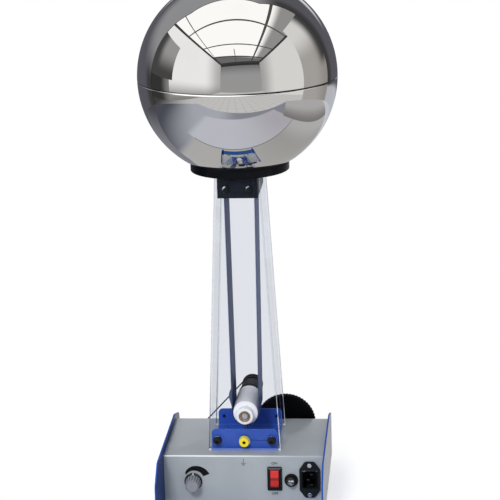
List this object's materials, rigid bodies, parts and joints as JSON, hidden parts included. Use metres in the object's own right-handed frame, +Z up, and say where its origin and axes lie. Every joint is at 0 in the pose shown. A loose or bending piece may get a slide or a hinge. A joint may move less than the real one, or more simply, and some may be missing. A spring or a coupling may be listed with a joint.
{
  "type": "van de graaff generator",
  "caption": "Belt-driven electrostatic generator: polished spherical dome on a clear tapered column over a motor and crank base with speed knob, switch and inlet.",
  "frame": {"origin": "on the floor, on the vertical axis of the column and dome, at the centre of the footprint box", "axes": "+X right along the front panel, +Y from the front panel to the crank at the back, +Z up the column"},
  "size_m": [0.25, 0.291, 0.6745],
  "materials": {
    "grey_paint": "satin grey powder coat",
    "blue_paint": "glossy blue powder coat",
    "bright_zinc": "bright zinc plated sheet",
    "black_rubber": "matt rubber",
    "clear_acrylic": "polished clear acrylic with sawn and polished edges",
    "black_screws": "black oxide",
    "bright_steel": "nickel plated steel",
    "yellow_plastic": "moulded gloss",
    "white_nylon": "turned nylon",
    "brass": "turned brass",
    "turned_steel": "turned",
    "black_plastic": "turned black plastic",
    "belt_rubber": "smooth slate blue rubber strip",
    "cord_rubber": "moulded twisted cord",
    "black_gloss": "polished black acrylic",
    "polished_dome": "mirror polished stainless steel",
    "clear_head": "machined white acetal",
    "motor_steel": "black enamel",
    "board_green": "glass epoxy board",
    "cap_grey": "moulded grey",
    "red_plastic": "translucent red",
    "fuse_glass": "glass tube with caps"
  },
  "bodies": {
    "base": {"chassis_cover": "grey_paint", "bottom_panel": "bright_zinc", "left_end_plate": "blue_paint", "right_end_plate": "blue_paint", "rubber_feet": "black_rubber", "panel_screws": "bright_steel", "column_tray": "blue_paint", "column_front_wall": "clear_acrylic", "column_rear_wall": "clear_acrylic", "column_left_wall": "clear_acrylic", "column_right_wall": "clear_acrylic", "column_screws": "black_screws", "column_washers": "bright_steel", "earth_socket_head": "yellow_plastic", "earth_socket_barrel": "brass", "earth_socket_nuts": "bright_steel", "bearing_housing": "black_plastic", "bearing_nut": "black_plastic", "roller_bearings": "turned_steel", "lower_comb": "brass", "lower_comb_post": "bright_steel", "upper_comb": "brass", "upper_comb_post": "bright_steel", "charging_belt": "belt_rubber", "drive_cord": "cord_rubber", "head_block": "black_gloss", "dome_collar": "black_gloss", "dome_seat": "turned_steel", "head_screws": "bright_steel", "front_roller_cheek": "clear_head", "rear_roller_cheek": "clear_head", "upper_roller_axle": "turned_steel", "drive_motor": "motor_steel", "crank_bush": "brass", "speed_control": "turned_steel", "control_board": "board_green", "switch_housing": "black_plastic", "fuse_holder": "black_plastic", "mains_inlet": "black_plastic", "inlet_pins": "bright_steel", "inlet_screws": "bright_steel"},
    "lower_roller_set": {"lower_roller": "white_nylon", "roller_end_ring": "brass", "lower_roller_shaft": "turned_steel", "roller_pulley": "black_plastic"},
    "upper_roller_set": {"upper_roller": "white_nylon"},
    "motor_rotor": {"motor_shaft": "turned_steel", "motor_pulley": "black_plastic"},
    "crank": {"crank_wheel": "black_plastic", "crank_axle": "turned_steel", "crank_pin": "bright_steel"},
    "grip": {"crank_grip": "black_plastic"},
    "dome": {"dome_lower_shell": "polished_dome", "dome_upper_shell": "polished_dome"},
    "knob": {"speed_knob": "black_plastic", "speed_knob_cap": "cap_grey", "control_shaft": "turned_steel"},
    "rocker": {"switch_rocker": "red_plastic"},
    "fuse_carrier": {"fuse_cap": "black_plastic", "cartridge_fuse": "fuse_glass"}
  },
  "joints": [
    {"name": "lower_roller_spin", "type": "hinge", "parent": "base", "child": "lower_roller_set", "pos_m": [0, 0, 0.112], "axis": [0, 1, 0], "continuous": true},
    {"name": "upper_roller_spin", "type": "hinge", "parent": "base", "child": "upper_roller_set", "pos_m": [0, 0, 0.52], "axis": [0, 1, 0], "continuous": true},
    {"name": "motor_spin", "type": "hinge", "parent": "base", "child": "motor_rotor", "pos_m": [-0.073, 0.088, 0.039], "axis": [0, 1, 0], "continuous": true},
    {"name": "crank_spin", "type": "hinge", "parent": "base", "child": "crank", "pos_m": [0.044, 0.088, 0.058], "axis": [0, 1, 0], "continuous": true},
    {"name": "grip_spin", "type": "hinge", "parent": "crank", "child": "grip", "pos_m": [0.044, 0.12, 0.03], "axis": [0, 1, 0], "continuous": true},
    {"name": "dome_lift", "type": "slide", "parent": "base", "child": "dome", "axis": [0, 0, 1], "range_m": [0, 0.25]},
    {"name": "speed_knob_turn", "type": "hinge", "parent": "base", "child": "knob", "pos_m": [-0.0655, -0.068, 0.035], "axis": [0, 1, 0], "range_deg": [0, 280]},
    {"name": "rocker_tip", "type": "hinge", "parent": "base", "child": "rocker", "pos_m": [0.0393, -0.065, 0.0394], "axis": [1, 0, 0], "range_deg": [0, 16]},
    {"name": "fuse_cap_turn", "type": "hinge", "parent": "base", "child": "fuse_carrier", "pos_m": [0.0605, -0.07, 0.0372], "axis": [0, -1, 0], "range_deg": [0, 90]}
  ],
  "couplings": [
    {"joint": "upper_roller_spin", "follows": "lower_roller_spin", "ratio": 0.86035},
    {"joint": "motor_spin", "follows": "lower_roller_spin", "ratio": 1.4186}
  ]
}
